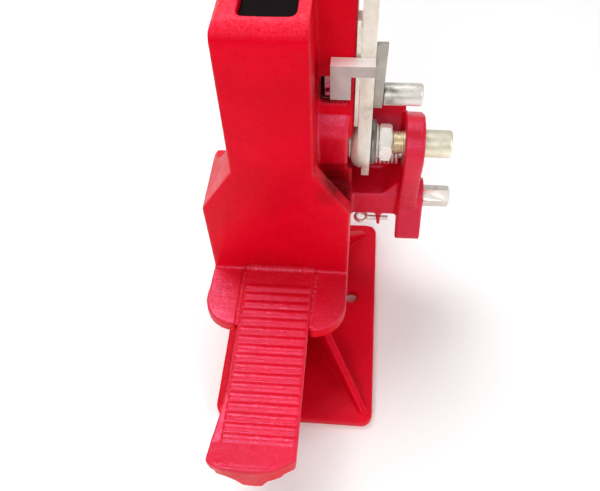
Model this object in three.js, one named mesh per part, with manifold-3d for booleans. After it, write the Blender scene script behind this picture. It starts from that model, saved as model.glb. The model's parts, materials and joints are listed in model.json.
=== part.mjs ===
// Climbing ratchet toe jack. Millimetres, +Z up, toe towards -Y, trip gear towards +X.
// Origin: on the rack's axis at the underside of the base plate.
import * as THREE from "three";
import { mergeVertices } from "three/addons/utils/BufferGeometryUtils.js";
import Module from "manifold-3d";

const wasm = await Module();
wasm.setup();
const { Manifold, Mesh: ManifoldMesh } = wasm;

// ---- driving dimensions ----
const GAP = 0.3;
const PLATE_THICKNESS = 10;
const PLATE = { x0: -60, x1: 86.5, y0: -141, y1: 95, corner: 10 };
const BOLT_HOLES = [[61.5, -2], [-45, -3], [38, 80], [-12, 80]];
const BOLT_HOLE_RADIUS = 7;

const RACK_HALF = 19;
const RACK_TOP = 349;
const TOOTH_PITCH = 20;
const TOOTH_DEPTH = 8;
const FIRST_LEDGE = 92.4;
const TOOTH_COUNT = 13;
const COLLAR_HALF = 27;
const COLLAR_TOP = 80.7;

const BODY_FRONT = -33;
const BODY_BOTTOM = 81;
const BODY_TOP = 355;
const SHELF_TOP = 95;
const SHELF_FRONT = -96;
const COLUMN_X0 = -37;
const COLUMN_X1 = 29;
const BLOCK_X0 = -66;
const BLOCK_X1 = 58;
const PANEL_Y = 12;
const CASE_REAR = 88;
const CASE_TOP = 350;
const CAVITY = { x0: -21, x1: 46, z0: 89, z1: 338 };

const TOE_X0 = -35;
const TOE_X1 = 27;
const TOE_TIP = -222;
const TOE_TOP = 98;
const RIB_COUNT = 17;
const RIB_PITCH = 8.8;
const RIB_FIRST = -56.5;

const FULCRUM = { y: 30, z: 201, r: 10, outboard: 11.7 };
const BOSS_FACE = 54;
const EYE = { x0: 56.4, x1: 72.4, r: 22 };
const ARM = { x0: 61.7, x1: 72.4 };
const SHAFT = { y: 38, z: 127, r: 9 };
const CARRIER_PIN = { y: 50, z: 170, r: 6 };
const LEVER_SWING = 19.5;
const LINK_RADIUS = TOOTH_PITCH / (2 * Math.sin(THREE.MathUtils.degToRad(LEVER_SWING)));
const GUIDE_RODS = [-12, 12];
const GUIDE_ROD_Y = 72;
const HOLDING_RETRACT = 10.5;
const LIFTING_RETRACT = 9.5;
const STUD = { y: 25, z: 257, r: 8.75 };
const SPRING = { y: 48, z: 170, x0: 77, turns: 6, wire: 1.4, mean: 8, pitch: 3.6 };

// ---- materials ----
function finish(name, color, metalness, roughness) {
  return new THREE.MeshStandardMaterial({ name, color, metalness, roughness });
}
const RED = finish("red_enamel", 0xc4081a, 0.0, 0.4);
const ZINC = finish("zinc_steel", 0xbdb9ae, 1.0, 0.42);
const GOLD_ZINC = finish("yellow_zinc", 0xb5a269, 1.0, 0.36);
const BLACK = finish("black_rack", 0x1b1a1a, 0.6, 0.55);
const DARK_STEEL = finish("dark_steel", 0x6d6a66, 1.0, 0.5);
const SPRING_STEEL = finish("spring_steel", 0x8f8d88, 1.0, 0.35);

// ---- solids from three.js geometry ----
function toSolid(geometry) {
  const plain = geometry.clone();
  plain.deleteAttribute("normal");
  plain.deleteAttribute("uv");
  const merged = mergeVertices(plain, 1e-4);
  const triangles = [];
  for (let i = 0; i < merged.index.count; i += 3) {
    const a = merged.index.getX(i);
    const b = merged.index.getX(i + 1);
    const c = merged.index.getX(i + 2);
    if (a !== b && b !== c && a !== c) triangles.push(a, b, c);
  }
  return new Manifold(new ManifoldMesh({
    numProp: 3,
    vertProperties: new Float32Array(merged.attributes.position.array),
    triVerts: new Uint32Array(triangles),
  }));
}

function toGeometry(solid) {
  const mesh = solid.getMesh();
  const geometry = new THREE.BufferGeometry();
  geometry.setAttribute("position", new THREE.BufferAttribute(new Float32Array(mesh.vertProperties), 3));
  geometry.setIndex(new THREE.BufferAttribute(new Uint32Array(mesh.triVerts), 1));
  geometry.computeVertexNormals();
  return geometry;
}

const join = (...solids) => Manifold.union(solids);
const cut = (solid, ...tools) => solid.subtract(Manifold.union(tools));

function box(x0, x1, y0, y1, z0, z1) {
  const geometry = new THREE.BoxGeometry(x1 - x0, y1 - y0, z1 - z0);
  geometry.translate((x0 + x1) / 2, (y0 + y1) / 2, (z0 + z1) / 2);
  return toSolid(geometry);
}

function extrude(points, depth) {
  const shape = new THREE.Shape(points.map(([a, b]) => new THREE.Vector2(a, b)));
  return new THREE.ExtrudeGeometry(shape, { depth, bevelEnabled: false });
}

// Outline in (y, z), swept along X.
function prismX(points, x0, x1) {
  const geometry = extrude(points, x1 - x0);
  const swap = new THREE.Matrix4().set(0, 0, 1, x0, 1, 0, 0, 0, 0, 1, 0, 0, 0, 0, 0, 1);
  return toSolid(geometry.applyMatrix4(swap));
}

// Outline in (x, z), swept along Y.
function prismY(points, y0, y1) {
  const geometry = extrude(points, y1 - y0);
  const swap = new THREE.Matrix4().set(1, 0, 0, 0, 0, 0, -1, y1, 0, 1, 0, 0, 0, 0, 0, 1);
  return toSolid(geometry.applyMatrix4(swap));
}

// Outline in (x, y), swept along Z.
function prismZ(points, z0, z1) {
  const geometry = extrude(points, z1 - z0);
  return toSolid(geometry.translate(0, 0, z0));
}

function cylinderX(y, z, radius, x0, x1, sides = 40, endRadius = radius) {
  const geometry = new THREE.CylinderGeometry(endRadius, radius, x1 - x0, sides);
  geometry.rotateZ(-Math.PI / 2);
  geometry.translate((x0 + x1) / 2, y, z);
  return toSolid(geometry);
}

function cylinderY(x, z, radius, y0, y1, sides = 32) {
  const geometry = new THREE.CylinderGeometry(radius, radius, y1 - y0, sides);
  geometry.translate(x, (y0 + y1) / 2, z);
  return toSolid(geometry);
}

function cylinderZ(x, y, radius, z0, z1, sides = 32) {
  const geometry = new THREE.CylinderGeometry(radius, radius, z1 - z0, sides);
  geometry.rotateX(Math.PI / 2);
  geometry.translate(x, y, (z0 + z1) / 2);
  return toSolid(geometry);
}

function ringX(y, z, outer, inner, x0, x1, sides = 40) {
  return cut(cylinderX(y, z, outer, x0, x1, sides), cylinderX(y, z, inner, x0 - 1, x1 + 1, sides));
}

function arc(cx, cy, radius, from, to, steps = 8) {
  const points = [];
  for (let i = 0; i <= steps; i += 1) {
    const angle = THREE.MathUtils.degToRad(from + ((to - from) * i) / steps);
    points.push([cx + radius * Math.cos(angle), cy + radius * Math.sin(angle)]);
  }
  return points;
}

function roundedRectangle(x0, x1, y0, y1, r) {
  return [
    ...arc(x1 - r, y0 + r, r, -90, 0),
    ...arc(x1 - r, y1 - r, r, 0, 90),
    ...arc(x0 + r, y1 - r, r, 90, 180),
    ...arc(x0 + r, y0 + r, r, 180, 270),
  ];
}

// Convex outline wrapped around circles given as [a, b, radius].
function wrap(circles, steps = 32) {
  const points = [];
  for (const [a, b, r] of circles) points.push(...arc(a, b, r, 0, 360 - 360 / steps, steps - 1));
  points.sort((p, q) => p[0] - q[0] || p[1] - q[1]);
  const cross = (o, p, q) => (p[0] - o[0]) * (q[1] - o[1]) - (p[1] - o[1]) * (q[0] - o[0]);
  const half = (list) => {
    const chain = [];
    for (const point of list) {
      while (chain.length > 1 && cross(chain[chain.length - 2], chain[chain.length - 1], point) <= 1e-6) {
        chain.pop();
      }
      chain.push(point);
    }
    chain.pop();
    return chain;
  };
  return [...half(points), ...half([...points].reverse())];
}

// Turn a solid about an axis parallel to X through (y, z).
function turnX(solid, y, z, degrees) {
  return solid.translate([0, -y, -z]).rotate([degrees, 0, 0]).translate([0, y, z]);
}

const group = new THREE.Group();
group.name = "toe_jack";

function add(name, solid, material) {
  const mesh = new THREE.Mesh(toGeometry(solid), material);
  mesh.name = name;
  group.add(mesh);
}

// ---- base: plate, rack post, collar, gussets ----
const boltTools = BOLT_HOLES.map(([x, y]) => cylinderZ(x, y, BOLT_HOLE_RADIUS, -1, PLATE_THICKNESS + 1));
const plateBlank = prismZ(
  roundedRectangle(PLATE.x0, PLATE.x1, PLATE.y0, PLATE.y1, PLATE.corner),
  0,
  PLATE_THICKNESS,
);
add("base_plate", cut(plateBlank, ...boltTools), RED);

const rackOutline = [[-RACK_HALF, PLATE_THICKNESS + GAP], [RACK_HALF, PLATE_THICKNESS + GAP]];
for (let i = 0; i < TOOTH_COUNT; i += 1) {
  const ledge = FIRST_LEDGE + i * TOOTH_PITCH;
  const root = RACK_HALF - TOOTH_DEPTH;
  rackOutline.push([RACK_HALF, ledge], [root, ledge], [root, ledge + 4], [RACK_HALF, ledge + 16]);
}
rackOutline.push([RACK_HALF, RACK_TOP], [-RACK_HALF, RACK_TOP]);
const rackSection = roundedRectangle(-RACK_HALF, RACK_HALF, -RACK_HALF, RACK_HALF, 4);
const rackEnvelope = prismZ(rackSection, PLATE_THICKNESS + GAP, RACK_TOP);
const rackPinHole = cylinderX(0, 40, 6.3, -40, 40);
add("rack_bar", cut(prismX(rackOutline, -RACK_HALF, RACK_HALF).intersect(rackEnvelope), rackPinHole), BLACK);

const collarBore = box(
  -RACK_HALF - GAP, RACK_HALF + GAP, -RACK_HALF - GAP, RACK_HALF + GAP, 0, COLLAR_TOP + 10,
);
const collarBlank = box(
  -COLLAR_HALF, COLLAR_HALF, -COLLAR_HALF, COLLAR_HALF, PLATE_THICKNESS + GAP, COLLAR_TOP,
);
add("rack_collar", cut(collarBlank, collarBore, rackPinHole), RED);
add("rack_cross_pin", cylinderX(0, 40, 6, -30, 30), ZINC);

function gusset(x0, y0, x1, y1, thickness = 7) {
  const length = Math.hypot(x1 - x0, y1 - y0);
  const foot = PLATE_THICKNESS + GAP;
  const outline = [[-12, foot], [length, foot], [length, 14], [0, 68], [-12, 68]];
  const web = prismY(outline, -thickness / 2, thickness / 2);
  const angle = THREE.MathUtils.radToDeg(Math.atan2(y1 - y0, x1 - x0));
  const clear = COLLAR_HALF + GAP;
  return web.rotate([0, 0, angle]).translate([x0, y0, 0])
    .subtract(box(-clear, clear, -clear, clear, 0, 100));
}
add("gusset_front_right", gusset(15, -27, 79, -131), RED);
add("gusset_front_left", gusset(-15, -27, -52, -131), RED);
add("gusset_rear_right", gusset(15, 27, 73, 82), RED);
add("gusset_rear_left", gusset(-15, 27, -48, 82), RED);

// ---- climbing body ----
const columnOutline = [
  [BODY_FRONT, BODY_BOTTOM],
  [25, BODY_BOTTOM],
  [25, BODY_TOP],
  ...arc(BODY_FRONT + 15, BODY_TOP - 15, 15, 90, 180),
];
const blockOutline = [
  [BLOCK_X0, BODY_BOTTOM],
  [BLOCK_X1, BODY_BOTTOM],
  [BLOCK_X1, 177],
  [COLUMN_X1 + 1, 220],
  [COLUMN_X0 - 1, 220],
  [BLOCK_X0, 177],
];
const shelfOutline = [
  [BLOCK_X1, BODY_FRONT + 2],
  [BLOCK_X0, BODY_FRONT + 2],
  ...arc(BLOCK_X0 + 24, SHELF_FRONT + 29, 26, 180, 270),
  ...arc(BLOCK_X1 - 30, SHELF_FRONT + 30, 30, 270, 360),
];
const shelfEars = cut(
  prismZ(shelfOutline, BODY_BOTTOM, SHELF_TOP),
  box(TOE_X0 - 3.3, TOE_X1 + GAP, SHELF_FRONT - 1, BODY_FRONT, 60, 120),
);
const solidMass = join(
  prismX(columnOutline, COLUMN_X0, COLUMN_X1),
  prismY(blockOutline, BODY_FRONT, 33),
  shelfEars,
  box(COLUMN_X0, BLOCK_X1, PANEL_Y, CASE_REAR, BODY_BOTTOM, CASE_TOP),
);
const flareRecess = box(COLUMN_X1, BLOCK_X1 + 1, -17, PANEL_Y + 5, 164, 221);
const topChamfer = prismY([[-40, 344], [-30, 357], [-40, 357]], -40, 30);
const boss = prismX(wrap([[30, 228, 26], [30, 202, 21.6]]), COLUMN_X1 - 2, BOSS_FACE);
const bodyBlank = join(cut(solidMass, flareRecess, topChamfer), boss);
const boreHalf = RACK_HALF + 0.6;
const coverScrews = [[-29, 110], [-29, 320], [52, 110], [52, 320]];
const bodySolid = cut(
  bodyBlank,
  prismZ(roundedRectangle(-boreHalf, boreHalf, -boreHalf, boreHalf, 4), 70, 370),
  box(CAVITY.x0, 21, 19, CASE_REAR + 1, CAVITY.z0, CAVITY.z1),
  box(20, CAVITY.x1, 22, CASE_REAR + 1, CAVITY.z0, CAVITY.z1),
  cylinderX(FULCRUM.y, FULCRUM.z, 17.2, 15, CAVITY.x1),
  cylinderX(FULCRUM.y, FULCRUM.z, EYE.r + 2.5, BOSS_FACE, BLOCK_X1 + 1),
  cylinderX(FULCRUM.y, FULCRUM.z, FULCRUM.r + GAP, -60, 70),
  cylinderX(SHAFT.y, SHAFT.z, SHAFT.r + GAP, -60, 70),
  cylinderX(FULCRUM.y, FULCRUM.z, 18, -70, COLUMN_X0),
  cylinderX(SHAFT.y, SHAFT.z, 16, -70, COLUMN_X0),
  box(32, 54, PANEL_Y - 12, 40, 256, 282),
  cylinderX(SPRING.y, SPRING.z, 4.3, 49, 70),
  ...GUIDE_RODS.map((x) => cylinderZ(x, GUIDE_ROD_Y, 4.3, 84, 345)),
  ...coverScrews.map(([x, z]) => cylinderY(x, z, 3.3, 70, 90)),
);
add("jack_body", bodySolid, RED);

// ---- toe bar ----
const toeSection = [[TOE_X0 - 3, 78], [TOE_X1 - 2, 78], [TOE_X1, TOE_TOP], [TOE_X0, TOE_TOP]];
const toeFlare = [
  [-36, -160], [-38.5, -182], [-42, -204], [-44.5, -218], [-44.5, TOE_TIP], [26, TOE_TIP], [26, -160],
];
const nosePlan = [
  [50, -20], [-60, -20], [-60, -212], [-45, -214.5], [-40, -218.5], [-32, -221], [-23, TOE_TIP],
  [-7, TOE_TIP], [5, -221], [14, -218.5], [26, -211], [50, -195],
];
const keelSection = [
  [-34, 84], [-22, 71], [-14, 56], [-4.5, 56], [5, 72], [15, 75.5], [23, 84],
];
const keelSide = [[TOE_TIP, 56], [-60, 74], [-60, 90], [TOE_TIP, 90]];
const noseSide = [
  [BODY_FRONT - GAP, 40],
  [BODY_FRONT - GAP, 120],
  [-190, 120],
  [-190, TOE_TOP],
  [-201.5, TOE_TOP],
  ...arc(TOE_TIP + 4, TOE_TOP - 7.9, 4, 75.6, 180, 4),
  [TOE_TIP, 62],
  [TOE_TIP + 8, 40],
];
const ribs = [];
for (let i = 0; i < RIB_COUNT; i += 1) {
  const y = RIB_FIRST - i * RIB_PITCH;
  const outline = [
    [y - 3.9, TOE_TOP - 1], [y + 3.9, TOE_TOP - 1], [y + 3.7, TOE_TOP + 0.3], [y + 2.6, TOE_TOP + 1.3],
    [y + 1, TOE_TOP + 1.9], [y - 1, TOE_TOP + 1.9], [y - 2.6, TOE_TOP + 1.3], [y - 3.7, TOE_TOP + 0.3],
  ];
  ribs.push(prismX(outline, TOE_X0 + 2.5, TOE_X1 - 2.5));
}
const toeBlank = join(
  prismY(toeSection, TOE_TIP, BODY_FRONT - GAP),
  prismZ(toeFlare, 84, TOE_TOP),
  prismY(keelSection, TOE_TIP, -60).intersect(prismX(keelSide, -60, 60)),
);
const noseEnvelope = prismX(noseSide, -80, 80).intersect(prismZ(nosePlan, 30, 130));
add("toe_bar", join(toeBlank.intersect(noseEnvelope), ...ribs), RED);

// ---- outboard pin bracket ----
const bracketBlank = join(
  box(BLOCK_X1 + GAP, 102, 59, 68, 113.5, 226),
  box(BLOCK_X1 + GAP, 102, 24, 60, 113.5, 141),
  prismX(wrap([[30, 201, 24], [38, 127, 17], [62, 200, 6], [62, 120, 6]]), 101, 117),
  prismX(wrap([[38, 127, 15], [20, 96, 8]]), 101, 124),
  cylinderX(SHAFT.y, SHAFT.z, 17, 116, 124),
  box(82, 86, 19, 30, 104, 114),
  prismY([[86, 140.5], [101.5, 140.5], [101.5, 159]], 26, 58),
);
add("pin_bracket", cut(
  bracketBlank,
  cylinderX(FULCRUM.y, FULCRUM.z, FULCRUM.outboard + GAP, 90, 130),
  cylinderX(SHAFT.y, SHAFT.z, SHAFT.r + GAP, 50, 130),
  cylinderX(SPRING.y, SPRING.z, 4.3, 90, 130),
  cylinderX(24, 108.8, 2.6, 80, 90, 20),
), RED);

// ---- rear cover and its screws ----
const coverPlate = prismY(roundedRectangle(COLUMN_X0, BLOCK_X1, 84, 347, 6), CASE_REAR + GAP, 94);
add("rear_cover", cut(
  coverPlate,
  box(30, 50, 80, 100, 150, 252),
  ...coverScrews.map(([x, z]) => cylinderY(x, z, 3.4, 80, 100)),
), RED);
coverScrews.forEach(([x, z], i) => {
  const head = cylinderY(x, z, 5.5, 94 + GAP, 100, 24);
  const shank = cylinderY(x, z, 3, 72, 95, 24);
  const hex = prismY(arc(x, z, 3, 0, 300, 5), 97, 101);
  add(`cover_screw_${i + 1}`, cut(join(head, shank), hex), ZINC);
});

// ---- fulcrum pin stack ----
add("fulcrum_pin", join(
  cylinderX(FULCRUM.y, FULCRUM.z, 15, -44, COLUMN_X0 - GAP),
  cylinderX(FULCRUM.y, FULCRUM.z, FULCRUM.r, -40, 102),
  cylinderX(FULCRUM.y, FULCRUM.z, FULCRUM.outboard, 101.5, 138.8, 48),
  cylinderX(FULCRUM.y, FULCRUM.z, FULCRUM.outboard, 138.8, 140.5, 48, FULCRUM.outboard - 1.4),
), GOLD_ZINC);
add("thrust_washer", ringX(FULCRUM.y, FULCRUM.z, 14, 10.4, BOSS_FACE + GAP, EYE.x0 - GAP), ZINC);
add("friction_disc", ringX(FULCRUM.y, FULCRUM.z, 19, 10.4, EYE.x1 + GAP, 76.7, 48), DARK_STEEL);
add("cone_washer", cut(
  cylinderX(FULCRUM.y, FULCRUM.z, 16, 77, 79.6, 40, 13),
  cylinderX(FULCRUM.y, FULCRUM.z, 10.4, 76, 81),
), SPRING_STEEL);
add("fulcrum_nut", cut(
  prismX(arc(FULCRUM.y, FULCRUM.z, 16.2, 30, 330, 5), 79.9, 90.4),
  cylinderX(FULCRUM.y, FULCRUM.z, 10.4, 76, 100),
), ZINC);

// ---- spring on its rod, keeper pin ----
add("spring_rod", cylinderX(SPRING.y, SPRING.z, 4, 49.5, 119, 28), ZINC);

function coil({ y, z, x0, turns, wire, mean, pitch }) {
  const steps = turns * 20;
  const sides = 8;
  const positions = [];
  const index = [];
  for (let i = 0; i <= steps; i += 1) {
    const angle = (i / 20) * Math.PI * 2;
    const out = [Math.cos(angle), Math.sin(angle)];
    for (let j = 0; j < sides; j += 1) {
      const around = (j / sides) * Math.PI * 2;
      const radius = mean + wire * Math.cos(around);
      positions.push(
        x0 + (pitch * i) / 20 + wire * Math.sin(around),
        y + radius * out[0],
        z + radius * out[1],
      );
    }
  }
  for (let i = 0; i < steps; i += 1) {
    for (let j = 0; j < sides; j += 1) {
      const a = i * sides + j;
      const b = i * sides + ((j + 1) % sides);
      index.push(a, a + sides, b, b, a + sides, b + sides);
    }
  }
  for (let j = 1; j < sides - 1; j += 1) {
    index.push(0, j, j + 1);
    const last = steps * sides;
    index.push(last, last + j + 1, last + j);
  }
  const geometry = new THREE.BufferGeometry();
  geometry.setAttribute("position", new THREE.BufferAttribute(new Float32Array(positions), 3));
  geometry.setIndex(index);
  return toSolid(geometry);
}
add("shaft_spring", coil(SPRING), SPRING_STEEL);

const keeperRing = new THREE.TorusGeometry(5.4, 1.7, 10, 28);
keeperRing.translate(68, 24, 108.8);
add("keeper_pin", join(toSolid(keeperRing), cylinderX(24, 108.8, 2.2, 73, 93, 20)), ZINC);

// ---- guide rods ----
GUIDE_RODS.forEach((x, i) => {
  const name = i === 0 ? "guide_rod_left" : "guide_rod_right";
  add(name, cylinderZ(x, GUIDE_ROD_Y, 4, 84.5, 344.5, 28), ZINC);
});

// ---- socket lever, drawn level and turned down to its hanging rest ----
const leverBlank = join(
  cylinderX(FULCRUM.y, FULCRUM.z, 15.6, 23, 45),
  prismX(wrap([[FULCRUM.y, FULCRUM.z, 15.6], [112, FULCRUM.z, 14]]), 35, 45),
  cylinderY(34, FULCRUM.z, 19, 110, 225, 40),
  box(24, 45, 106, 112, FULCRUM.z - 13, FULCRUM.z + 13),
);
const leverSolid = cut(
  leverBlank,
  cylinderX(FULCRUM.y, FULCRUM.z, FULCRUM.r + GAP, 0, 60),
  cylinderX(FULCRUM.y + LINK_RADIUS, FULCRUM.z, 6.3, 20, 60, 28),
  cylinderY(34, FULCRUM.z, 14, 125, 230, 40),
);
add("socket_lever", turnX(leverSolid, FULCRUM.y, FULCRUM.z, -LEVER_SWING), RED);
const swing = THREE.MathUtils.degToRad(LEVER_SWING);
const leverPin = {
  y: FULCRUM.y + LINK_RADIUS * Math.cos(swing),
  z: FULCRUM.z - LINK_RADIUS * Math.sin(swing),
};
add("lever_link_pin", cylinderX(leverPin.y, leverPin.z, 6, 21.5, 45.3, 28), ZINC);

// ---- link and pawl carrier ----
const studY = FULCRUM.y + (LINK_RADIUS * (1 + Math.cos(swing))) / 2;
add("drag_link", cut(
  prismX(wrap([[leverPin.y, leverPin.z, 10], [leverPin.y, CARRIER_PIN.z, 10]]), 23.2, 33.2),
  cylinderX(leverPin.y, leverPin.z, 6.3, 20, 40, 28),
  cylinderX(leverPin.y, CARRIER_PIN.z, 6.3, 20, 40, 28),
), ZINC);
const carrierBlank = join(
  box(-19, 19, 42, 80, 159, 183),
  cylinderX(studY, CARRIER_PIN.z, 5, 18, 34.4, 28),
);
add("pawl_carrier", cut(
  carrierBlank,
  box(-8.6, 8.6, 30, 66, 150, 190),
  cylinderX(CARRIER_PIN.y, CARRIER_PIN.z, CARRIER_PIN.r + GAP, -30, 18.2, 28),
  ...GUIDE_RODS.map((x) => cylinderZ(x, GUIDE_ROD_Y, 4.4, 150, 190)),
), ZINC);
add("lifting_pawl_pin", cylinderX(CARRIER_PIN.y, CARRIER_PIN.z, CARRIER_PIN.r, -18.6, 17.8, 28), ZINC);

// ---- pawls, drawn engaged and turned back to their tripped rest ----
const liftLedge = FIRST_LEDGE + 2 * TOOTH_PITCH;
const liftingOutline = [
  [14.5, liftLedge + 5], [17.5, liftLedge + 5],
  ...arc(CARRIER_PIN.y, CARRIER_PIN.z, 10, -55, 155, 10),
  [22, liftLedge + 19.45], [14.5, liftLedge + 8.2],
];
add("lifting_pawl", turnX(
  cut(
    prismX(liftingOutline, -8, 8),
    cylinderX(CARRIER_PIN.y, CARRIER_PIN.z, CARRIER_PIN.r + GAP, -20, 20, 28),
  ),
  CARRIER_PIN.y,
  CARRIER_PIN.z,
  LIFTING_RETRACT,
), DARK_STEEL);

const holdingOutline = [
  [14.5, FIRST_LEDGE + 4.8], [26, FIRST_LEDGE + 5], ...arc(SHAFT.y, SHAFT.z, 13.2, -50, 190, 14),
  [22, FIRST_LEDGE + 19.45], [14.5, FIRST_LEDGE + 8.2],
];
const keyway = box(-8.3, 8.3, SHAFT.y - 2.8, SHAFT.y + 2.8, SHAFT.z + 6, SHAFT.z + 11.3);
add("holding_pawl", turnX(
  cut(
    prismX(holdingOutline, -8, 8),
    cylinderX(SHAFT.y, SHAFT.z, SHAFT.r + GAP, -20, 20),
    box(-9, 9, SHAFT.y - 2.8, SHAFT.y + 2.8, SHAFT.z, SHAFT.z + 11.3),
  ),
  SHAFT.y,
  SHAFT.z,
  HOLDING_RETRACT,
), DARK_STEEL);
const hexEnd = prismX(arc(SHAFT.y, SHAFT.z, 9.9, 30, 330, 5), 124, 147.2);
const hexTip = cylinderX(SHAFT.y, SHAFT.z, 9.9, 147.2, 148.5, 6, 8.6);
add("pawl_shaft", turnX(
  cut(
    join(
      cylinderX(SHAFT.y, SHAFT.z, 13, -43, COLUMN_X0 - GAP),
      cylinderX(SHAFT.y, SHAFT.z, SHAFT.r, -40, 124.5),
      hexEnd,
      hexTip,
    ),
    keyway,
  ),
  SHAFT.y,
  SHAFT.z,
  HOLDING_RETRACT,
), ZINC);
const pawlKey = box(-8, 8, SHAFT.y - 2.5, SHAFT.y + 2.5, SHAFT.z + 6.3, SHAFT.z + 11);
add("pawl_key", turnX(pawlKey, SHAFT.y, SHAFT.z, HOLDING_RETRACT), ZINC);

// ---- trip lever and what is fastened to it ----
const rivets = [[22, 322], [26, 236]];
const tripBlank = join(
  cylinderX(FULCRUM.y, FULCRUM.z, 14.5, EYE.x0, 57.6, 48, 17.5),
  cylinderX(FULCRUM.y, FULCRUM.z, 17.5, 57.6, 60, 48, 20.5),
  cylinderX(FULCRUM.y, FULCRUM.z, 20.5, 60, 63.5, 48, EYE.r),
  cylinderX(FULCRUM.y, FULCRUM.z, EYE.r, 63.5, EYE.x1 - 1.8, 48),
  cylinderX(FULCRUM.y, FULCRUM.z, EYE.r, EYE.x1 - 1.8, EYE.x1, 48, EYE.r - 1.8),
  prismX(wrap([[FULCRUM.y, FULCRUM.z, 20], [23, 290, 11]]), ARM.x0, ARM.x1),
  prismX(wrap([[23, 290, 11], [18, 385, 10]]), ARM.x0, ARM.x1),
  prismX(wrap([[FULCRUM.y, FULCRUM.z, 18], [30, 170, 7.2]]), 66, EYE.x1),
);
add("trip_lever", cut(
  tripBlank,
  cylinderX(FULCRUM.y, FULCRUM.z, FULCRUM.r + GAP, 50, 90),
  cylinderX(STUD.y, STUD.z, 5.3, 50, 90, 28),
  ...rivets.map(([y, z]) => cylinderX(y, z, 3.3, 50, 90, 24)),
  cylinderY(67, 295.5, 3.3, 0, 50, 24),
), ZINC);
const wearOutline = [
  [13, 233], [36, 231], [35, 268], [33, 296], [34, 324], [14, 329], [11, 320], [10, 305], [12.5, 301.5],
  [12, 268], [9.5, 262], [10.5, 250],
];
add("wear_plate", cut(
  prismX(wearOutline, BLOCK_X1 + GAP, ARM.x0 - GAP),
  ...rivets.map(([y, z]) => cylinderX(y, z, 3.3, 50, 90, 24)),
), ZINC);
rivets.forEach(([y, z], i) => {
  add(`wear_plate_rivet_${i + 1}`, cylinderX(y, z, 3, BLOCK_X1 + 0.5, ARM.x1, 24), ZINC);
});
const studArmSide = [...arc(STUD.y, STUD.z, 11, 180, 360, 14), [36, 268], [19, 309], [14, 309]];
add("stud_arm", cut(
  prismY([[ARM.x1 + GAP, 243], [79, 243], [81, 309], [ARM.x1 + GAP, 309]], 10, 40)
    .intersect(prismX(studArmSide, 70, 90)),
  cylinderX(STUD.y, STUD.z, 5.3, 50, 90, 28),
), ZINC);
add("trip_stud", join(
  cylinderX(STUD.y, STUD.z, 5, ARM.x0, 81, 28),
  cylinderX(STUD.y, STUD.z, STUD.r, 80.2, 108.8),
  cylinderX(STUD.y, STUD.z, STUD.r, 108.8, 110.5, 40, STUD.r - 1.5),
), ZINC);
add("trip_finger", cut(
  join(
    prismY([[40, 270], [55, 270], [55, 291], [ARM.x1, 291], [ARM.x1, 300.5], [40, 300.5]], 0.8, 11.4),
    box(40, 50, 8, 30, 270, 279),
  ),
  cylinderY(67, 295.5, 3.3, 5.5, 20, 24),
), ZINC);
add("finger_screw", join(
  cylinderY(67, 295.5, 4.4, 35.2, 39, 24),
  cylinderY(67, 295.5, 3, 6, 36, 24),
), ZINC);

export default group;
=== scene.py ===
"""Looks of the toe jack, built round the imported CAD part. Metres, +Z up, toe towards -Y."""
import json
import math

import bmesh
import bpy
import numpy as np
from mathutils import Matrix, Vector, noise


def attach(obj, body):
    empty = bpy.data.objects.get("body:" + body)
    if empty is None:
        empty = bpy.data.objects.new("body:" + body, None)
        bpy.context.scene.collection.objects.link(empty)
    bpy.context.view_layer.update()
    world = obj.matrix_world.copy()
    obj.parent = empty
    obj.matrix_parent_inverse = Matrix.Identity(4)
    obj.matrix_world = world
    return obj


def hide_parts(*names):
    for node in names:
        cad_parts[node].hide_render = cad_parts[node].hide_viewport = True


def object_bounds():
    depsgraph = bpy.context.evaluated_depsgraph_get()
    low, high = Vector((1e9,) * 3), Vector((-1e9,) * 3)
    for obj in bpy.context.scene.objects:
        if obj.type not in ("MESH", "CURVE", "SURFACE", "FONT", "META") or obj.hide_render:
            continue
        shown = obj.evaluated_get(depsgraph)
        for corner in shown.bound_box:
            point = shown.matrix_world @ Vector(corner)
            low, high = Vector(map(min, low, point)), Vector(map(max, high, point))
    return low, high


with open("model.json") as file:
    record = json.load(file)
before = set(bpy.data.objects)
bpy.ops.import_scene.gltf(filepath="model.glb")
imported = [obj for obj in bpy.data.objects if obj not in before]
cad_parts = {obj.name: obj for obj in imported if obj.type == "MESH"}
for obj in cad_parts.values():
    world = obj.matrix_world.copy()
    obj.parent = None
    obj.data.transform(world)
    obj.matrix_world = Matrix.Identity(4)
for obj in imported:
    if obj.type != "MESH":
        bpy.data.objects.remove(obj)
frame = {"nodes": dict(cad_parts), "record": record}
NODES = frame["nodes"]
CAD_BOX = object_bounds()
BODY_OF = {
    node: body
    for body, nodes in frame["record"]["behaviour"]["bodies"].items()
    for node in nodes
}
MM = 0.001

# ---- camera ----
CAMERA_PLACE = Vector((0.0633, -0.3906, 0.6006))
CAMERA_PITCH = math.radians(52.33)
CAMERA_YAW = math.radians(-7.65)
CAMERA_ROLL = math.radians(3.40)
CAMERA_LENS = 40.18
CAMERA_SENSOR = 36
CAMERA_CLIP_START = 0.01


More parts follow.
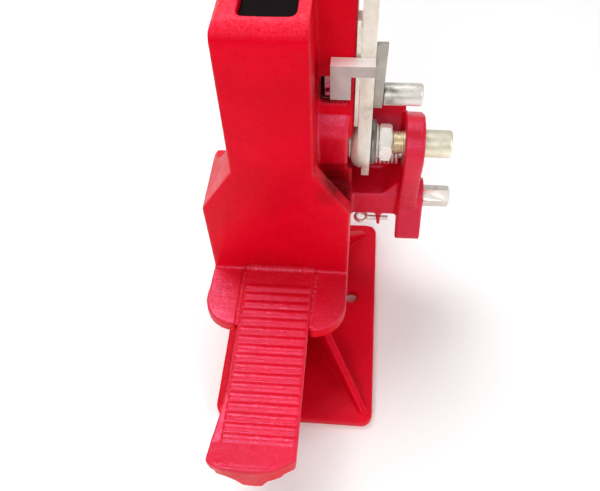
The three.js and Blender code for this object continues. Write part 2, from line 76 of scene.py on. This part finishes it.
def make_camera():
    forward = Vector((
        math.sin(CAMERA_YAW) * math.cos(CAMERA_PITCH),
        math.cos(CAMERA_YAW) * math.cos(CAMERA_PITCH),
        -math.sin(CAMERA_PITCH),
    ))
    level = Vector((math.cos(CAMERA_YAW), -math.sin(CAMERA_YAW), 0))
    down = forward.cross(level)
    right = math.cos(CAMERA_ROLL) * level + math.sin(CAMERA_ROLL) * down
    up = math.sin(CAMERA_ROLL) * level - math.cos(CAMERA_ROLL) * down
    data = bpy.data.cameras.new("camera")
    data.lens = CAMERA_LENS
    data.sensor_width = CAMERA_SENSOR
    data.clip_start = CAMERA_CLIP_START
    camera = bpy.data.objects.new("camera", data)
    bpy.context.scene.collection.objects.link(camera)
    turn = Matrix((right, up, -forward)).transposed()
    camera.matrix_world = Matrix.Translation(CAMERA_PLACE) @ turn.to_4x4()
    bpy.context.scene.camera = camera


make_camera()


# ---- materials ----
class Nodes:
    """Small helper for building one material's node tree."""

    def __init__(self, name):
        self.material = bpy.data.materials.new(name)
        self.material.use_nodes = True
        self.tree = self.material.node_tree
        self.tree.nodes.clear()
        self.output = self.tree.nodes.new("ShaderNodeOutputMaterial")
        self.shader = self.tree.nodes.new("ShaderNodeBsdfPrincipled")
        self.link(self.shader.outputs[0], self.output.inputs["Surface"])
        self.coords = self.tree.nodes.new("ShaderNodeTexCoord").outputs["Object"]

    def link(self, source, target):
        self.tree.links.new(source, target)

    def noise(self, scale, detail, rough=0.55):
        node = self.tree.nodes.new("ShaderNodeTexNoise")
        node.inputs["Scale"].default_value = scale
        node.inputs["Detail"].default_value = detail
        node.inputs["Roughness"].default_value = rough
        self.link(self.coords, node.inputs["Vector"])
        return node.outputs["Fac"]

    def ramp(self, value, low, high, start, end):
        """Maps value from low..high to start..end, clamped."""
        node = self.tree.nodes.new("ShaderNodeMapRange")
        self.link(value, node.inputs["Value"])
        node.inputs["From Min"].default_value = low
        node.inputs["From Max"].default_value = high
        node.inputs["To Min"].default_value = start
        node.inputs["To Max"].default_value = end
        return node.outputs[0]

    def mix(self, factor, first, second):
        """first where factor is 0, second where it is 1. Each is a colour or a socket."""
        node = self.tree.nodes.new("ShaderNodeMix")
        node.data_type = "RGBA"
        self.link(factor, node.inputs["Factor"])
        for socket, value in (("A", first), ("B", second)):
            target = [s for s in node.inputs if s.name == socket and s.type == "RGBA"][0]
            if isinstance(value, tuple):
                target.default_value = (*value, 1)
            else:
                self.link(value, target)
        return [s for s in node.outputs if s.type == "RGBA"][0]

    def times(self, first, second):
        """The product of first, a socket, and second, a socket or a number."""
        node = self.tree.nodes.new("ShaderNodeMath")
        node.operation = "MULTIPLY"
        self.link(first, node.inputs[0])
        if isinstance(second, (int, float)):
            node.inputs[1].default_value = second
        else:
            self.link(second, node.inputs[1])
        return node.outputs[0]

    def near(self, place, inner, outer):
        """1 within inner of place, falling to 0 at outer. All in millimetres."""
        node = self.tree.nodes.new("ShaderNodeVectorMath")
        node.operation = "DISTANCE"
        self.link(self.coords, node.inputs[0])
        node.inputs[1].default_value = [c * MM for c in place]
        return self.ramp(node.outputs["Value"], inner * MM, outer * MM, 1, 0)

    def pointiness(self, low, high):
        """0 at low to 1 at high: edges are above 0.5, and hollows below it."""
        geometry = self.tree.nodes.new("ShaderNodeNewGeometry")
        return self.ramp(geometry.outputs["Pointiness"], low, high, 0, 1)

    def facing_up(self, low, high):
        """0 where the normal's Z is below low, rising to 1 at high."""
        geometry = self.tree.nodes.new("ShaderNodeNewGeometry")
        parts = self.tree.nodes.new("ShaderNodeSeparateXYZ")
        self.link(geometry.outputs["Normal"], parts.inputs[0])
        return self.ramp(parts.outputs["Z"], low, high, 0, 1)

    def bump(self, height, strength, distance, after=None):
        node = self.tree.nodes.new("ShaderNodeBump")
        node.inputs["Strength"].default_value = strength
        node.inputs["Distance"].default_value = distance
        self.link(height, node.inputs["Height"])
        if after:
            self.link(after, node.inputs["Normal"])
        return node.outputs[0]

    def darken_round(self, color, places, patches, dark_color):
        """Darkens color round each of places, broken up by patches, 0 to 1."""
        for place, inner, outer, strength in places:
            covered = self.times(self.near(place, inner, outer), strength)
            color = self.mix(self.times(covered, patches), color, dark_color)
        return color

    def finish(self, color=None, roughness=None, normal=None, **fixed):
        """Links the sockets that vary, sets the fixed ones, and gives the material."""
        varying = {"Base Color": color, "Roughness": roughness, "Normal": normal}
        for socket, value in varying.items():
            if value is not None:
                self.link(value, self.shader.inputs[socket])
        for socket, value in fixed.items():
            self.shader.inputs[socket.replace("_", " ")].default_value = value
        return self.material


# Places darkened round a point: place, inner and outer radius in millimetres, strength.
DARKENED_LEVER = [((30, 112, 190), 30, 48, 0.97)]
# Grime and painted shade where the stud meets its arm, and a darker spot low by the fulcrum nut.
GRIME_AND_SHADE_ZINC = [((82, 16, 264), 5, 19, 0.8), ((84, 22, 188), 3, 11, 0.6)]
DARKENED_LEVER_EYE = [((58, 12, 186), 4, 16, 0.7), ((76, 14, 250), 3, 14, 0.45)]
DARKENED_COVER = [((30, 92, 208), 20, 34, 0.97)]
# Painted shade: dark patches in the recesses round the boss and bracket and inside the slot.
PAINTED_SHADE_BODY = [
    ((40, -18, 200), 8, 20, 0.9),
    ((44, 4, 168), 14, 30, 0.9),
    ((37, 22, 268), 12, 16, 0.98),
    ((84, 48, 144), 10, 26, 0.55),
    ((72, 60, 180), 14, 34, 0.7),
]

# Linear colours of the looks that follow.
ENAMEL_DEEP = (0.60, 0.0004, 0.010)
ENAMEL_BRIGHT = (0.76, 0.0008, 0.017)
ENAMEL_PAINTED_SHEEN = (0.86, 0.11, 0.19)
ENAMEL_SPECK = (0.25, 0.0004, 0.004)
ENAMEL_WEAR_AND_EDGE_GLINT = (0.80, 0.07, 0.11)
ENAMEL_CREASE_SHADE = (0.16, 0.0004, 0.003)
ENAMEL_DARKENING = (0.045, 0.004, 0.003)
METAL_DARKENING = (0.05, 0.04, 0.035)
BLACK_DEEP = (0.002, 0.001, 0.0013)
BLACK_OILY = (0.006, 0.003, 0.004)


def red_enamel(name, grain, depth, darkened_places=(), crease_shade=0.6, shine=0.4, tint=(1.0, 0.6, 1.0),
               painted_sheen=0.5):
    """Glossy red enamel over a casting. Its pebbles are grain wide and depth high, in metres.

    crease_shade paints shade into hollows and painted_sheen paints a sheen on what faces up.
    shine and tint are the strength and the colour of the gloss.
    """
    n = Nodes(name)
    color = n.mix(n.ramp(n.noise(14, 3), 0.35, 0.7, 0, 1), ENAMEL_DEEP, ENAMEL_BRIGHT)
    grains = n.ramp(n.noise(500, 4, 0.7), 0.38, 0.62, 0.2, 1)
    # Paler pink on what faces up: a painted sheen standing in for highlights.
    painted_sheen_mask = n.times(n.facing_up(0.25, 0.9), grains)
    color = n.mix(n.times(painted_sheen_mask, painted_sheen), color, ENAMEL_PAINTED_SHEEN)
    specks = n.ramp(n.noise(420, 2), 0.63, 0.73, 0, 0.4)
    color = n.mix(specks, color, ENAMEL_SPECK)
    # Paler pink on edges: worn paint and a painted highlight along the edges.
    wear_and_edge_glint = n.times(n.pointiness(0.53, 0.60), n.ramp(n.noise(60, 5), 0.38, 0.60, 0.1, 1))
    color = n.mix(n.times(wear_and_edge_glint, 0.6), color, ENAMEL_WEAR_AND_EDGE_GLINT)
    # Darker red in hollows and grooves: painted shade.
    creased = n.pointiness(0.48, 0.42)
    color = n.mix(n.times(creased, crease_shade), color, ENAMEL_CREASE_SHADE)
    # Darker round the given places; on the body casting these patches are painted shade.
    if darkened_places:
        patches = n.ramp(n.noise(520, 3), 0.36, 0.60, 1.0, 0.55)
        color = n.darken_round(color, darkened_places, patches, ENAMEL_DARKENING)
    rough = n.ramp(n.noise(90, 4), 0.3, 0.75, 0.30, 0.50)
    lumps = n.bump(n.noise(0.25 / grain, 2, 0.5), 0.6, depth * 2.6)
    pebbles = n.bump(n.noise(1 / grain, 3, 0.6), 0.9, depth, lumps)
    return n.finish(color, rough, pebbles, Metallic=0.0, Specular_IOR_Level=shine,
                    Specular_Tint=(*tint, 1))


def metal(name, light, dark, smoothest, roughest, darkening=0.35, metallic=0.8, darkened_places=(),
          painted_top_light=None):
    """Bare or plated steel: two cloudy tones, stains, darker hollows, a little unevenness.

    painted_top_light is a paler colour painted on what faces up: a painted highlight.
    """
    n = Nodes(name)
    darker_tone = tuple(0.3 * c for c in dark)
    cloud = n.noise(60, 5, 0.6)
    color = n.mix(n.ramp(cloud, 0.3, 0.7, 0, 1), dark, light)
    stain = n.ramp(n.noise(210, 4, 0.6), 0.58, 0.76, 0, darkening)
    color = n.mix(stain, color, darker_tone)
    # Darker in hollows.
    creased = n.pointiness(0.49, 0.42)
    color = n.mix(n.times(creased, darkening), color, darker_tone)
    # A paler colour on what faces up: a painted highlight.
    if painted_top_light:
        color = n.mix(n.facing_up(0.5, 0.9), color, painted_top_light)
    if darkened_places:
        patches = n.ramp(n.noise(160, 4), 0.35, 0.60, 1.0, 0.35)
        color = n.darken_round(color, darkened_places, patches, METAL_DARKENING)
    rough = n.ramp(n.noise(300, 3), 0.3, 0.7, smoothest, roughest)
    grained = n.bump(n.noise(330, 2), 0.12, 0.0003)
    uneven = n.bump(cloud, 0.24, 0.0008, grained)
    return n.finish(color, rough, uneven, Metallic=metallic)


def oiled_black(name):
    """Black, oily, sooty steel."""
    n = Nodes(name)
    cloud = n.noise(80, 5, 0.6)
    color = n.mix(n.ramp(cloud, 0.3, 0.7, 0, 1), BLACK_DEEP, BLACK_OILY)
    rough = n.ramp(cloud, 0.3, 0.7, 0.45, 0.8)
    uneven = n.bump(n.noise(240, 4), 0.5, 0.0004)
    return n.finish(color, rough, uneven, Metallic=0.0, Specular_IOR_Level=0.04)


RED_BODY = red_enamel("red_body", 0.0016, 0.00018, PAINTED_SHADE_BODY, shine=0.3,
                      tint=(1.0, 0.06, 0.15), painted_sheen=0.35)
RED_CAST = red_enamel("red_cast", 0.0014, 0.00028, crease_shade=0.7, shine=0.75,
                      tint=(1.0, 0.55, 1.0), painted_sheen=0.03)
RED_WELD = red_enamel("red_weld", 0.0012, 0.00028, crease_shade=0.0, shine=0.6, painted_sheen=0.12)
RED_LEVER = red_enamel("red_lever", 0.0014, 0.00022, DARKENED_LEVER, crease_shade=0.3)
RED_COVER = red_enamel("red_cover", 0.0018, 0.00012, DARKENED_COVER, crease_shade=0.3)
RED_PLATE = red_enamel("red_plate", 0.0018, 0.00012, crease_shade=0.2, shine=0.2,
                       tint=(1.0, 0.3, 0.5), painted_sheen=0.05)
ZINC = metal("zinc_steel_look", (0.92, 0.89, 0.83), (0.74, 0.71, 0.65), 0.36, 0.52,
             darkened_places=GRIME_AND_SHADE_ZINC)
BRIGHT = metal("bright_zinc_look", (0.97, 0.95, 0.90), (0.86, 0.84, 0.80), 0.30, 0.45,
               darkening=0.3, metallic=0.4)
# A darker copy of the zinc look, for the stud arm: painted shade.
PAINTED_SHADE_ZINC = metal("painted_shade_zinc_look", (0.50, 0.48, 0.42), (0.38, 0.36, 0.32), 0.45, 0.6)
GALVANISED = metal("galvanised_look", (0.90, 0.86, 0.76), (0.76, 0.72, 0.63), 0.48, 0.62,
                   darkening=0.2, metallic=0.6, darkened_places=DARKENED_LEVER_EYE)
GOLD = metal("yellow_zinc_look", (0.95, 0.93, 0.76), (0.80, 0.74, 0.54), 0.34, 0.48)
DULL = metal("dull_steel_look", (0.54, 0.47, 0.44), (0.42, 0.35, 0.33), 0.5, 0.65,
             darkening=0.2, metallic=0.3, painted_top_light=(0.97, 0.93, 0.90))
DARK = metal("dark_steel_look", (0.30, 0.28, 0.27), (0.15, 0.14, 0.13), 0.36, 0.52)
SPRING = metal("spring_steel_look", (0.95, 0.91, 0.86), (0.82, 0.77, 0.72), 0.35, 0.5,
               darkening=0.1)
BLACK = oiled_black("black_rack_look")

# ---- making pieces: lengths in metres unless a comment says otherwise ----
SAME_POINT = 1e-6
SAME_PLANE = math.radians(1.5)
# Keep the noise of one seed apart from the next seed's.
SEED_STRIDES = (3.1, 7.7, 1.3)
CAST_RELIEF = 0.00012
TOE_RELIEF = 0.0002
CAST_NOISE_SCALE = 140
BEAD_VOXEL = 0.0006
BEAD_ROUNDS = 3
BEAD_RELIEF = 0.0002
BEAD_NOISE_SCALE = 500
# How far a bead's lumps vary in size, as a share, and stray from its line, in millimetres.
BEAD_SPREAD = 0.22
BEAD_STRAY = 0.8
BEVEL_SEGMENTS = 3
BEVEL_FROM = math.radians(32)
BEVELLED_SHARP_FROM = math.radians(40)
TURNED_SIDES = 72
TURNED_SHARP_FROM = math.radians(38)
# A broken edge bulges: the share of it left at the profile's middle point.
EDGE_BULGE = 0.3
WASHER_EDGE_BULGE = 0.4


def new_object(name, mesh, material, body, replaced):
    piece = bpy.data.objects.new(name, mesh)
    bpy.context.scene.collection.objects.link(piece)
    mesh.materials.clear()
    mesh.materials.append(material)
    for polygon in mesh.polygons:
        polygon.use_smooth = True
    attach(piece, body)
    if replaced:
        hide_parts(*replaced)
    return piece


def with_modifiers(mesh, *settings):
    """A new mesh: mesh after the modifiers, each given as (type, {property: value})."""
    carrier = bpy.data.objects.new("carrier", mesh)
    bpy.context.scene.collection.objects.link(carrier)
    for kind, values in settings:
        modifier = carrier.modifiers.new(kind, kind)
        for key, value in values.items():
            setattr(modifier, key, value)
    bpy.context.view_layer.update()
    depsgraph = bpy.context.evaluated_depsgraph_get()
    result = bpy.data.meshes.new_from_object(carrier.evaluated_get(depsgraph))
    bpy.data.objects.remove(carrier)
    return result


def fused(mesh, voxel, rounds):
    """A new mesh: the closed forms of mesh run together, then smoothed so many rounds."""
    return with_modifiers(
        mesh,
        ("REMESH", {"mode": "VOXEL", "voxel_size": voxel, "use_smooth_shade": True}),
        ("SMOOTH", {"factor": 0.5, "iterations": rounds}),
    )


def to_mesh(bm, name):
    """A new mesh from bm, which is freed."""
    mesh = bpy.data.meshes.new(name)
    bm.to_mesh(mesh)
    bm.free()
    return mesh


def cad_solids(nodes):
    """The solids of the CAD nodes in one bmesh, with their doubled vertices joined."""
    bm = bmesh.new()
    for node in nodes:
        bm.from_mesh(NODES[node].data)
    bmesh.ops.remove_doubles(bm, verts=bm.verts, dist=SAME_POINT)
    return bm


def roughen(mesh, amount, scale, seed):
    """Moves every vertex along its normal by smooth noise, never past the CAD box."""
    offset = Vector([seed * stride for stride in SEED_STRIDES])
    moves = [noise.noise(v.co * scale + offset) * amount for v in mesh.vertices]
    places = [v.co + v.normal * m for v, m in zip(mesh.vertices, moves)]
    kept = np.clip(np.array(places, np.float32), *np.array(CAD_BOX, np.float32))
    mesh.vertices.foreach_set("co", kept.ravel())
    mesh.update()


def cast(name, sources, voxel, rounds, material, seed, relief=CAST_RELIEF):
    """A casting: the CAD solids fused, edges softened, surface slightly uneven."""
    mesh = fused(to_mesh(cad_solids(sources), name), voxel, rounds)
    roughen(mesh, relief, CAST_NOISE_SCALE, seed)
    return new_object(name, mesh, material, BODY_OF[sources[0]], sources)


def repaint(piece, material, chosen):
    """Gives a second material to the polygons for which chosen(polygon) is true."""
    piece.data.materials.append(material)
    for polygon in piece.data.polygons:
        if chosen(polygon):
            polygon.material_index = 1


def crisp(node, width, material):
    """A machined part: the CAD solid with small rolled edges."""
    bm = cad_solids([node])
    bmesh.ops.dissolve_limit(bm, angle_limit=SAME_PLANE, verts=bm.verts, edges=bm.edges)
    mesh = with_modifiers(to_mesh(bm, node), ("BEVEL", {
        "width": width,
        "segments": BEVEL_SEGMENTS,
        "limit_method": "ANGLE",
        "angle_limit": BEVEL_FROM,
        "use_clamp_overlap": True,
    }))
    new_object(node + "_look", mesh, material, BODY_OF[node], (node,))
    mesh.set_sharp_from_angle(angle=BEVELLED_SHARP_FROM)


def as_turned(x, angle, radius):
    return radius


def lathe_x(node, profile, y, z, material, shape=as_turned):
    """A turned part along X that replaces node.

    profile is [(x, radius), ...] in millimetres, closed if it repeats its start. shape gives
    the final radius at an x, an angle and the profile's radius.
    """
    closed = profile[0] == profile[-1]
    points = profile[:-1] if closed else profile
    bm = bmesh.new()
    rings = []
    for x, radius in points:
        row = []
        for i in range(TURNED_SIDES):
            angle = 2 * math.pi * i / TURNED_SIDES
            r = shape(x, angle, radius)
            place = (x, y + r * math.cos(angle), z + r * math.sin(angle))
            row.append(bm.verts.new([c * MM for c in place]))
        rings.append(row)
    pairs = list(zip(rings, rings[1:]))
    if closed:
        pairs.append((rings[-1], rings[0]))
    for first, second in pairs:
        for i in range(TURNED_SIDES):
            j = (i + 1) % TURNED_SIDES
            bm.faces.new((first[i], first[j], second[j], second[i]))
    if not closed:
        bm.faces.new(rings[0])
        bm.faces.new(list(reversed(rings[-1])))
    bmesh.ops.recalc_face_normals(bm, faces=bm.faces)
    name = node + "_look"
    mesh = to_mesh(bm, name)
    new_object(name, mesh, material, BODY_OF[node], (node,))
    mesh.set_sharp_from_angle(angle=TURNED_SHARP_FROM)


def chamfered(x0, x1, radius, edge):
    """Profile points of a plain cylinder with softly broken ends."""
    return [
        (x0, radius - edge),
        (x0 + edge * EDGE_BULGE, radius - edge * EDGE_BULGE),
        (x0 + edge, radius),
        (x1 - edge, radius),
        (x1 - edge * EDGE_BULGE, radius - edge * EDGE_BULGE),
        (x1, radius - edge),
    ]


def line(start, end, step):
    """Points from start to end, about a step apart."""
    a, b = Vector(start), Vector(end)
    count = max(2, round((b - a).length / step))
    return [a.lerp(b, i / count) for i in range(count + 1)]


def bead(name, path, radius, body, seed, material):
    """A weld bead: overlapping lumps along path, in millimetres, fused and softened."""
    bm = bmesh.new()
    for i, place in enumerate(path):
        size = radius * (1 + BEAD_SPREAD * noise.noise(Vector((seed, i * 0.9, 0.3))))
        shift_x = noise.noise(Vector((i * 1.7, seed, 5)))
        shift_y = noise.noise(Vector((i * 2.3, 9, seed)))
        spot = Vector(place) + BEAD_STRAY * Vector((shift_x, shift_y, 0))
        bmesh.ops.create_icosphere(bm, subdivisions=2, radius=size * MM,
                                   matrix=Matrix.Translation(spot * MM))
    mesh = fused(to_mesh(bm, name), BEAD_VOXEL, BEAD_ROUNDS)
    roughen(mesh, BEAD_RELIEF, BEAD_NOISE_SCALE, seed)
    new_object(name, mesh, material, body, ())


# ---- red castings and weldments ----
BASE_NODES = [
    "base_plate", "rack_collar",
    "gusset_front_right", "gusset_front_left", "gusset_rear_right", "gusset_rear_left",
]
# Rough-cast parts of the casting: corners of a box in millimetres, and the least normal Z.
ROUGH_PARTS = [
    ((-80, -120, 70), (70, -33.5, 100), 0.3),
    ((29.8, -6, 190), (55.5, 11.4, 250), -1),
    ((58.2, -10, 85), (130, 80, 240), -1),
]
TOE_SIDE_BELOW = 0.25


def is_rough(polygon):
    return any(
        polygon.normal.z > flatness
        and all(low[i] < polygon.center[i] / MM < high[i] for i in range(3))
        for low, high, flatness in ROUGH_PARTS
    )


def is_side(polygon):
    return polygon.normal.z < TOE_SIDE_BELOW


casting = cast("jack_casting", ["jack_body", "pin_bracket"], 0.0013, 7, RED_BODY,
               2)
repaint(casting, RED_CAST, is_rough)
toe = cast("toe_casting", ["toe_bar"], 0.0009, 5, RED_CAST, 3, TOE_RELIEF)
repaint(toe, RED_BODY, is_side)
cast("base_weldment", BASE_NODES, 0.0013, 5, RED_PLATE, 4)
cast("rear_cover_plate", ["rear_cover"], 0.0012, 3, RED_COVER, 5)
cast("lever_casting", ["socket_lever"], 0.0012, 5, RED_LEVER, 6)
cast("rack_post", ["rack_bar"], 0.0010, 2, BLACK, 7)

for name, start, end, step, radius in [
    ("toe_weld", (-33, -34.6, 98), (25, -34.6, 98), 3.4, 4.6),
    ("shelf_weld_left", (-63, -33.2, 95.4), (-38, -33.2, 95.4), 2.2, 2.8),
    ("shelf_weld_right", (29, -33.2, 95.4), (55, -33.2, 95.4), 2.2, 2.8),
    ("seam_weld_left", (-36.3, -38, 94.8), (-36.3, -92, 94.8), 1.6, 2.9),
    ("seam_weld_right", (28.5, -38, 94.3), (28.5, -92, 94.3), 1.6, 2.9),
]:
    bead(name, line(start, end, step), radius, "jack", len(name), RED_WELD)

# ---- turned parts, in millimetres ----
PIN_Y, PIN_Z = 30, 201
STUD_Y, STUD_Z = 25, 257
ROD_Y, ROD_Z = 48, 170
PIN_RADIUS = 10
BORE_RADIUS = 10.4
THREAD_START = 90.5
THREAD_END = 101
THREAD_PITCH = 2.5
THREAD_DEPTH = 1.35
THREAD_CREST = 0.8
THREAD_RINGS = 53
THREAD_RING_STEP = 0.2
NUT_FLAT = 14.03
NUT_FLATS_FROM = 12
NUT_TURN = math.radians(30)
NUT_SIDE = math.radians(60)


def thread(x, angle, radius):
    """The pin's thread between the nut and the ear; plain elsewhere."""
    if not THREAD_START <= x < THREAD_END:
        return radius
    turn = (x / THREAD_PITCH - angle / (2 * math.pi)) % 1
    return radius - THREAD_DEPTH * abs(2 * turn - 1) ** THREAD_CREST


def hexagon(x, angle, radius):
    """Cuts a turned nut down to its six flats and leaves its bore round."""
    if radius < NUT_FLATS_FROM:
        return radius
    across = (angle - NUT_TURN) % NUT_SIDE - NUT_SIDE / 2
    return min(radius, NUT_FLAT / math.cos(across))


def washer(node, x0, x1, outer, material, edge=0.5):
    profile = [
        (x0, BORE_RADIUS),
        (x0, outer - edge),
        (x0 + edge * WASHER_EDGE_BULGE, outer - edge * EDGE_BULGE),
        (x0 + edge, outer),
        (x1 - edge, outer),
        (x1 - edge * WASHER_EDGE_BULGE, outer - edge * EDGE_BULGE),
        (x1, outer - edge),
        (x1, BORE_RADIUS),
        (x0, BORE_RADIUS),
    ]
    lathe_x(node, profile, PIN_Y, PIN_Z, material)


pin_profile = [
    *chamfered(-44, -37.3, 15, 1.0)[:-1], (-37.3, 14.6),
    (-37.3, PIN_RADIUS), (60, PIN_RADIUS), (90.4, PIN_RADIUS),
    *[(THREAD_START + THREAD_RING_STEP * i, PIN_RADIUS) for i in range(THREAD_RINGS)],
    (101.5, PIN_RADIUS), (101.5, 11.2), (102, 11.7), (138.6, 11.7), (139.6, 11.3), (140.4, 10.4),
]
cone_profile = [
    (77, BORE_RADIUS), (77, 15.6), (77.4, 16), (79.6, 13), (79.6, BORE_RADIUS), (77, BORE_RADIUS),
]
nut_profile = [
    (79.9, BORE_RADIUS), (79.9, 14.0), (80.3, 14.5), (81.2, 16.2),
    (89.1, 16.2), (90.0, 14.5), (90.4, 14.0), (90.4, BORE_RADIUS), (79.9, BORE_RADIUS),
]
stud_profile = [
    *chamfered(61.8, 81, 5, 0.3)[:3],
    (80.2, 5), (80.2, 8.2), (80.8, 8.75), (108.6, 8.75), (109.7, 8.3), (110.4, 7.4),
]
lathe_x("fulcrum_pin", pin_profile, PIN_Y, PIN_Z, GOLD, thread)
washer("thrust_washer", 54.3, 56.1, 14, ZINC)
washer("friction_disc", 72.7, 76.7, 19, DARK, 0.8)
lathe_x("cone_washer", cone_profile, PIN_Y, PIN_Z, SPRING)
lathe_x("fulcrum_nut", nut_profile, PIN_Y, PIN_Z, BRIGHT, hexagon)
lathe_x("spring_rod", chamfered(49.5, 119, 4, 0.6), ROD_Y, ROD_Z, ZINC)
lathe_x("trip_stud", stud_profile, STUD_Y, STUD_Z, ZINC)

# ---- other steel parts: node, width of the rolled edges in metres, look, slot ----
for node, width, material, slot in [
    ("trip_lever", 0.0016, GALVANISED, "zinc_steel"),
    ("wear_plate", 0.0004, GALVANISED, "zinc_steel"),
    ("trip_finger", 0.0009, DULL, "zinc_steel"),
    ("stud_arm", 0.0010, PAINTED_SHADE_ZINC, "zinc_steel"),
    ("finger_screw", 0.0005, ZINC, "zinc_steel"),
    ("wear_plate_rivet_1", 0.0004, ZINC, "zinc_steel"),
    ("wear_plate_rivet_2", 0.0004, ZINC, "zinc_steel"),
    ("pawl_shaft", 0.0006, ZINC, "zinc_steel"),
    ("holding_pawl", 0.0006, DARK, "dark_steel"),
    ("pawl_key", 0.0002, ZINC, "zinc_steel"),
    ("lifting_pawl", 0.0006, DARK, "dark_steel"),
    ("lifting_pawl_pin", 0.0004, ZINC, "zinc_steel"),
    ("pawl_carrier", 0.0006, ZINC, "zinc_steel"),
    ("drag_link", 0.0006, ZINC, "zinc_steel"),
    ("lever_link_pin", 0.0004, ZINC, "zinc_steel"),
    ("rack_cross_pin", 0.0006, ZINC, "zinc_steel"),
    ("guide_rod_left", 0.0004, ZINC, "zinc_steel"),
    ("guide_rod_right", 0.0004, ZINC, "zinc_steel"),
    ("cover_screw_1", 0.0005, ZINC, "zinc_steel"),
    ("cover_screw_2", 0.0005, ZINC, "zinc_steel"),
    ("cover_screw_3", 0.0005, ZINC, "zinc_steel"),
    ("cover_screw_4", 0.0005, ZINC, "zinc_steel"),
    ("keeper_pin", 0.0002, ZINC, "zinc_steel"),
    ("shaft_spring", 0.0001, SPRING, "spring_steel"),
]:
    crisp(node, width, material)

# ---- floor and light ----
FLOOR_CORNERS = [(-6, -6, 0), (6, -6, 0), (6, 6, 0), (-6, 6, 0)]
FLOOR_COLOR = (0.91, 0.91, 0.91, 1)
FLOOR_ROUGHNESS = 0.8
WORLD_COLOR = (1, 1, 1, 1)
WORLD_STRENGTH = 0.38


def make_floor():
    mesh = bpy.data.meshes.new("floor")
    mesh.from_pydata(FLOOR_CORNERS, [], [range(len(FLOOR_CORNERS))])
    floor = bpy.data.objects.new("floor", mesh)
    bpy.context.scene.collection.objects.link(floor)
    look = Nodes("pale_floor").finish(Base_Color=FLOOR_COLOR, Roughness=FLOOR_ROUGHNESS)
    mesh.materials.append(look)


def make_world():
    world = bpy.data.worlds.new("world")
    bpy.context.scene.world = world
    world.use_nodes = True
    background = world.node_tree.nodes["Background"]
    background.inputs["Color"].default_value = WORLD_COLOR
    background.inputs["Strength"].default_value = WORLD_STRENGTH


def area_light(name, place, target, size, power):
    data = bpy.data.lights.new(name, "AREA")
    data.shape = "RECTANGLE"
    data.size, data.size_y = size
    data.energy = power
    light = bpy.data.objects.new(name, data)
    light.location = place
    toward = Vector(target) - Vector(place)
    light.rotation_euler = toward.to_track_quat("-Z", "Y").to_euler()
    bpy.context.scene.collection.objects.link(light)


make_floor()
make_world()
area_light("overhead", (-0.3, 0.45, 1.45), (0, -0.05, 0.1), (0.9, 0.6), 16)
area_light("window", (-0.3, -1.45, 1.25), (0, 0, 0.2), (0.8, 0.5), 13.5)
area_light("fill", (1.5, -0.5, 0.9), (0, 0, 0.2), (0.8, 0.8), 8)
bpy.context.scene.view_settings.view_transform = "Standard"
